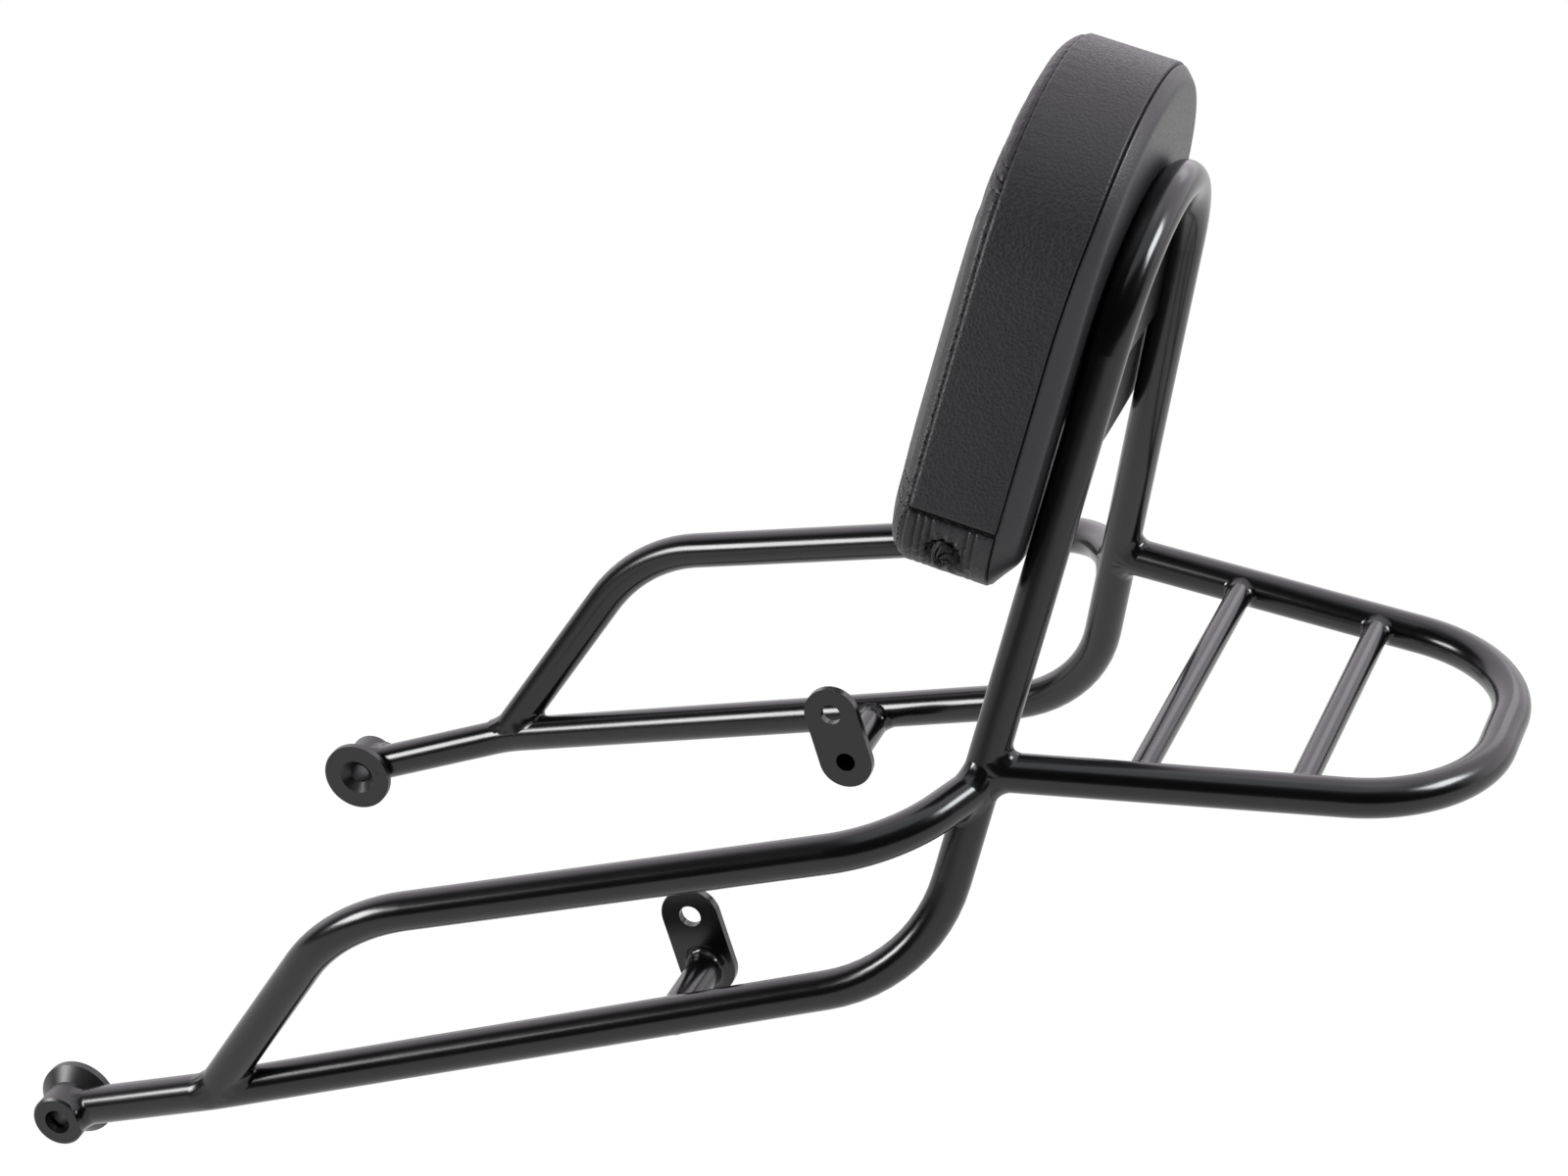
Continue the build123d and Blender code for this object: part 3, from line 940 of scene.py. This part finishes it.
def panel(name, points, painted_shade, material, *nodes):
    """A cover panel with a skin's thickness and painted shade along its seams, standing for CAD nodes."""
    rows, columns = points.shape[:2]
    piece = add_object(name, points.reshape(-1, 3), grid_faces(rows, columns, False), material)
    # painted shade of the seams, which darkens the vinyl's colour and turns off its shine
    shade = piece.data.attributes.new(SEAM_SHADE, "FLOAT", "POINT")
    shade.data.foreach_set("value", painted_shade.ravel())
    face_out(piece)
    skin = piece.modifiers.new("skin", "SOLIDIFY")
    skin.thickness = SKIN
    skin.offset = -1.0
    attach(piece, BODY)
    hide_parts(*nodes)
    return piece


def face_out(piece):
    """Turns a panel's faces away from the pad's middle."""
    middle = Vector(pad_middle())
    faces = piece.data.polygons
    if sum(face.area * face.normal.dot(face.center - middle) for face in faces) < 0:
        piece.data.flip_normals()


def tree_of(points, closed):
    """A search tree of a panel's surface."""
    rows, columns = points.shape[:2]
    corners = [Vector(point) for point in points.reshape(-1, 3)]
    return BVHTree.FromPolygons(corners, grid_faces(rows, columns, closed))


def laid_on(tree, starts, direction, reach=LAY_REACH):
    """Where lines from points in a direction meet a surface, with the surface's normal."""
    found = []
    for start in starts:
        place, normal, _, _ = tree.ray_cast(Vector(start), Vector(direction).normalized(), reach)
        if place is not None:
            found.append((place, normal if normal.dot(Vector(direction)) < 0 else -normal))
    return found


def stitch_row(laid, longer):
    """Vertices and faces of a row of stitches along laid points."""
    places = np.array([place for place, _ in laid])
    steps = np.r_[0, np.cumsum(np.linalg.norm(np.diff(places, axis=0), axis=1))]
    sides = STITCH_SIDES
    stations = np.linspace(-1, 1, STITCH_STATIONS)
    vertices = []
    faces = []
    pitch = STITCH_PITCH * longer
    for number in range(int(steps[-1] / pitch)):
        middle = (number + 0.5) * pitch
        start = len(vertices)
        for station in stations:
            spot = middle + STITCH_LENGTH * longer * station / 2
            centre = Vector([np.interp(spot, steps, places[:, axis]) for axis in range(3)])
            nearest = min(int(np.searchsorted(steps, spot)), len(laid) - 1)
            normal = laid[nearest][1]
            before = max(nearest, 1)
            along = Vector(places[before] - places[before - 1]).normalized()
            across = along.cross(normal).normalized()
            radius = STITCH_R * longer * math.sqrt(max(1 - STITCH_TAPER * station**4, STITCH_TIP))
            lift = STITCH_R * longer * (STITCH_LIFT - STITCH_BOW * station**2)
            for side in range(sides):
                turn = 2 * math.pi * side / sides
                height = lift + radius * math.sin(turn)
                vertices.append(centre + normal * height + across * radius * math.cos(turn))
        faces += grid_faces(len(stations), sides, True, start)
        for end in (0, len(stations) - 1):
            faces.append(tuple(range(start + end * sides, start + (end + 1) * sides)))
    return vertices, faces


def sew(name, rows, material, longer=1.0):
    """Rows of stitches as one piece."""
    vertices = []
    faces = []
    for laid in rows:
        if len(laid) > 2:
            made, parts = stitch_row(laid, longer)
            faces += [tuple(len(vertices) + i for i in part) for part in parts]
            vertices += made
    piece = add_object(name, vertices, faces, material)
    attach(piece, BODY)


def knot(name, side, tree, material):
    """The gathered and tied bunch of vinyl on one side of the bottom boxing: a dome with curled creases."""
    height = SIDE_SEAM_HEIGHT - KNOT_DROP * math.cos(TAPER)
    start = in_frame(side * PAST_PAD, height, KNOT_DEPTH)
    place, normal = laid_on(tree, [start], -side * SIDEWAYS, PAST_PAD)[0]
    ahead = Vector(PLANE_AHEAD)
    ahead = (ahead - normal * ahead.dot(normal)).normalized()
    down = normal.cross(ahead)
    rings, spokes = KNOT_CELLS
    vertices = []
    for ring in range(rings):
        share = ring / (rings - 1)
        for spoke in range(spokes):
            turn = 2 * math.pi * spoke / spokes
            curl = turn + side * KNOT_CURL * (1 - share)
            crease = abs(math.cos(KNOT_LOBES * curl / 2 + math.sin(turn) / 2)) ** KNOT_CREASE_POWER
            uneven = KNOT_WAVE * math.sin(KNOT_WAVES * turn + side) - KNOT_NOTCH * crease
            reach = KNOT_R * share * (1 + uneven)
            dome = KNOT_HEIGHT * (1 - share**KNOT_DOME_POWER) * (1 - bell(share, KNOT_DIMPLE_WIDTH) / 2)
            fold = KNOT_FOLD * crease * math.sin(math.pi * min(share + KNOT_FOLD_SHIFT, 1))
            lift = dome - fold - KNOT_SINK * share
            across = ahead * KNOT_SHAPE[0] * math.cos(turn) + down * KNOT_SHAPE[1] * math.sin(turn)
            vertices.append(place + normal * lift + across * reach)
    piece = add_object(name, vertices, grid_faces(rings, spokes, True), material)
    bunch = bmesh.new()
    bunch.from_mesh(piece.data)
    bmesh.ops.remove_doubles(bunch, verts=bunch.verts, dist=MERGE_DISTANCE)
    rim = [edge for edge in bunch.edges if edge.is_boundary]
    bmesh.ops.contextual_create(bunch, geom=rim)
    bmesh.ops.recalc_face_normals(bunch, faces=bunch.faces)
    bunch.to_mesh(piece.data)
    bunch.free()
    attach(piece, BODY)


def finished_boxing(boxing, length, times):
    """The boxing as a fine grid with its sewn relief, and the painted shade of its seams and pleats."""
    fine = denser(denser(boxing, 0, False, times), 1, True, FINER)
    sideways, height, depth = on_plane(fine)
    run = np.broadcast_to(length * np.arange(fine.shape[1]) / fine.shape[1], depth.shape)
    rise = boxing_relief(depth, run, sideways, height)
    return fine + grid_normals(fine, True) * rise[..., None], boxing_painted_shade(depth, sideways, height)


def finished_back(back, fine):
    """The back panel as a fine grid with its sewn edge, and the painted shade along that edge."""
    back = denser(denser(back, 0, False, FINER), 1, False, FINER)
    sideways, height, _ = on_plane(back)
    inset = inset_of(np.stack([sideways, height], axis=-1), fine)
    pulled = REAR_SEAM_DEPTH * bell(inset, REAR_SEAM_WIDTH)
    away = np.hypot(sideways, height - PAD_MIDDLE) + TINY
    depth = back_depth(sideways, height, inset)
    shut = 1 - pulled / away
    points = in_frame(sideways * shut, PAD_MIDDLE + (height - PAD_MIDDLE) * shut, depth)
    return points, REAR_SHADE * bell(inset, SEAM_LINE)


def finished_front(front, fine, length):
    """The front panel as a fine grid with its sewn relief, and the painted shade along its seams."""
    front = denser(denser(front, 0, False, FINER), 1, False, FINER)
    sideways, height, _ = on_plane(front)
    inset = inset_of(np.stack([sideways, height], axis=-1), fine)
    turn = np.arctan2(sideways, PAD_MIDDLE - height) / (2 * math.pi)
    painted_shade = bell(inset, SEAM_LINE)
    for seam in CROSS_SEAMS:
        painted_shade = np.maximum(painted_shade, bell(height - seam, SEAM_LINE))
    rise = front_relief(inset, turn * length, height)
    return front + grid_normals(front, False) * rise[..., None], painted_shade


def stitching(front, boxing, yarn):
    """The stitches of the front seam, the cross seams and the side seams. Gives the boxing's search tree."""
    front_tree = tree_of(front, False)
    boxing_tree = tree_of(boxing, True)
    above = FRONT_SEAM_DEPTH + 2 * PAD_CROWN
    ring = pad_outline(SEAM_STITCH_GAP, STITCH_POINTS * SIDE_CELLS)
    ring = np.vstack([ring, ring[:1]])
    ahead = in_frame(ring[:, 0], ring[:, 1], np.full(len(ring), above))
    rows = [laid_on(front_tree, ahead, -PLANE_AHEAD)]
    reach = np.linspace(-CROSS_SEAM_REACH, CROSS_SEAM_REACH, STITCH_POINTS * BOTTOM_FINER)
    for seam in CROSS_SEAMS:
        for gap in (-CROSS_STITCH_GAP, CROSS_STITCH_GAP):
            line = in_frame(reach, np.full(len(reach), seam + gap), np.full(len(reach), above))
            rows.append(laid_on(front_tree, line, -PLANE_AHEAD))
    sew("front_stitching", rows, yarn)
    rows = []
    reach = np.linspace(REAR_SEAM_LOW, FRONT_SEAM_DEPTH - SEAM_STITCH_GAP, STITCH_POINTS)
    for side in (-1, 1):
        out = np.full(len(reach), side * PAST_PAD)
        line = in_frame(out, np.full(len(reach), SIDE_SEAM_HEIGHT), reach)
        rows.append(laid_on(boxing_tree, line, -side * SIDEWAYS, PAST_PAD))
    sew("side_stitching", rows, yarn, LONG_STITCH)
    return boxing_tree


def pad(cover, back_cover, shaded_knot_cover, yarn):
    """The upholstered pad: front panel, side and bottom boxing, back panel, stitching and knots."""
    front, boxing, back = rough_cover()
    front, boxing = swell(front, boxing, back, cover)
    fine = pad_outline(0, OUTLINE_STEPS * 4 * SIDE_CELLS)
    length = np.sum(np.linalg.norm(np.diff(fine, axis=0), axis=1))
    front, front_painted_shade = finished_front(front, fine, length)
    back, back_painted_shade = finished_back(back, fine)
    upper, upper_painted_shade = finished_boxing(boxing, length, FINER)
    lower, lower_painted_shade = finished_boxing(boxing, length, BOTTOM_FINER)

    columns = upper.shape[1]
    split = int(np.argmax(on_plane(upper[0])[1] > SIDE_SEAM_HEIGHT))
    around = np.arange(split, columns - split + 1)
    under = np.arange(columns - split, columns + split + 1) % columns
    crowned = panel("pad_front_panel", front, front_painted_shade, cover, "pad_front_cover", "pad_foam")
    sides = panel("pad_side_panel", upper[:, around], upper_painted_shade[:, around], cover, "pad_side_boxing")
    bottom = panel("pad_bottom_panel", lower[:, under], lower_painted_shade[:, under], cover, "pad_bottom_boxing")
    panel("pad_back_panel", back, back_painted_shade, back_cover, "pad_back_cover", "pad_base_board")

    boxing_tree = stitching(front, lower, yarn)
    for name, side in (("left_knot", -1), ("right_knot", 1)):
        knot(name, side, boxing_tree, shaded_knot_cover)


# Stage
def floor():
    """A white floor below the part, which shows white to the camera and keeps a soft shadow."""
    level = CAD_BOX[0].z - FLOOR_DROP
    middle = (CAD_BOX[0] + CAD_BOX[1]) / 2
    corners = [(x * FLOOR_REACH, y * FLOOR_REACH, level) for x, y in ((-1, -1), (1, -1), (1, 1), (-1, 1))]
    material = bpy.data.materials.new("floor")
    material.use_nodes = True
    nodes = material.node_tree.nodes
    links = material.node_tree.links
    nodes.clear()
    matt = nodes.new("ShaderNodeBsdfDiffuse")
    matt.inputs["Color"].default_value = (*FLOOR_COLOUR, 1.0)
    glow = nodes.new("ShaderNodeEmission")
    glow.inputs["Color"].default_value = (*WHITE, 1.0)
    where = nodes.new("ShaderNodeTexCoord")
    away = nodes.new("ShaderNodeVectorMath")
    away.operation = "DISTANCE"
    away.inputs[1].default_value = (middle.x, middle.y, level)
    links.new(where.outputs["Object"], away.inputs[0])
    share = smooth_share(nodes, links, away.outputs["Value"], *GLOW_DISTANCES, start=GLOW_NEAR)
    from_camera, mirrored = ray_kinds(nodes, links)
    mix = nodes.new("ShaderNodeMixShader")
    links.new(calculate(nodes, links, "MULTIPLY_ADD", from_camera, share, mirrored), mix.inputs["Fac"])
    links.new(matt.outputs["BSDF"], mix.inputs[1])
    links.new(glow.outputs["Emission"], mix.inputs[2])
    output = nodes.new("ShaderNodeOutputMaterial")
    links.new(mix.outputs["Shader"], output.inputs["Surface"])
    add_object("floor", corners, [(0, 1, 2, 3)], material, smooth=False)


def studio_world():
    """A pale studio, white to the camera. Reflections show a bright far side, grey above and a dark front."""
    world = bpy.data.worlds.new("studio")
    bpy.context.scene.world = world
    world.use_nodes = True
    nodes = world.node_tree.nodes
    links = world.node_tree.links
    nodes.clear()
    where = nodes.new("ShaderNodeTexCoord")
    parts = nodes.new("ShaderNodeSeparateXYZ")
    links.new(where.outputs["Generated"], parts.inputs["Vector"])
    ceiling = smooth_share(nodes, links, parts.outputs["Z"], *CEILING_HEIGHTS)
    rear = smooth_share(nodes, links, parts.outputs["Y"], *REAR_REACH)
    above = blend_colours(nodes, links, ceiling, FRONT_COLOUR, CEILING_COLOUR)
    around = blend_colours(nodes, links, rear, above, REAR_COLOUR)
    from_camera, mirrored = ray_kinds(nodes, links)
    lit = blend_colours(nodes, links, mirrored, AMBIENT, around)
    seen = blend_colours(nodes, links, from_camera, lit, WHITE)
    background = nodes.new("ShaderNodeBackground")
    links.new(seen, background.inputs["Color"])
    output = nodes.new("ShaderNodeOutputWorld")
    links.new(background.outputs["Background"], output.inputs["Surface"])
    world.cycles.sampling_method = "NONE"


def area_light(name, direction, distance, size, power, colour):
    """A soft box at a distance from the part's middle, aimed at it."""
    data = bpy.data.lights.new(name, "AREA")
    data.shape = "RECTANGLE"
    data.size, data.size_y = size
    data.energy = power
    data.color = colour
    lamp = bpy.data.objects.new(name, data)
    bpy.context.scene.collection.objects.link(lamp)
    toward = Vector(direction).normalized()
    lamp.location = (CAD_BOX[0] + CAD_BOX[1]) / 2 + toward * distance
    lamp.rotation_euler = (-toward).to_track_quat("-Z", "Y").to_euler()


def camera():
    """The photograph's camera."""
    ahead = Vector((
        -math.sin(YAW) * math.cos(ELEVATION),
        math.cos(YAW) * math.cos(ELEVATION),
        -math.sin(ELEVATION),
    ))
    level = Vector((math.cos(YAW), math.sin(YAW), 0))
    upward = level.cross(ahead)
    right = level * math.cos(ROLL) + upward * math.sin(ROLL)
    up = upward * math.cos(ROLL) - level * math.sin(ROLL)
    data = bpy.data.cameras.new("camera")
    data.sensor_width = SENSOR_WIDTH
    data.lens = FOCAL_PX / IMAGE_WIDTH * SENSOR_WIDTH
    data.shift_x = 0.5 - CENTRE_PX[0] / IMAGE_WIDTH
    data.shift_y = (CENTRE_PX[1] - IMAGE_HEIGHT / 2) / IMAGE_WIDTH
    data.clip_end = CLIP_END
    eye = bpy.data.objects.new("camera", data)
    bpy.context.scene.collection.objects.link(eye)
    turn = Matrix((right, up, -ahead)).transposed()
    eye.matrix_world = Matrix.Translation(TARGET - ahead * DISTANCE) @ turn.to_4x4()
    bpy.context.scene.camera = eye


bpy.context.scene.view_settings.view_transform = "Standard"
coat = powder_coat("powder_coat", *GLOSS_COAT)
satin = powder_coat("satin_coat", *SATIN_COAT)
grained = vinyl("vinyl", *GRAINED_VINYL)
smooth = vinyl("back_vinyl", *BACK_VINYL)
# the knots' vinyl, darker than the cover as painted shade
shaded_knot_material = vinyl("painted_shade_knot_vinyl", *SHADED_KNOT_VINYL)
materials = {
    "black_frame": coat,
    "black_vinyl": grained,
    "foam": stock("foam"),
    "board": stock("plywood"),
    "black_screws": powder_coat("black_zinc", *BLACK_ZINC),
    "fasteners": stock("zinc"),
}
dress_frame(materials, satin)
welds(coat)
pad(grained, smooth, shaded_knot_material, stock("thread"))
floor()
studio_world()
for lamp in LAMPS:
    area_light(*lamp)
camera()
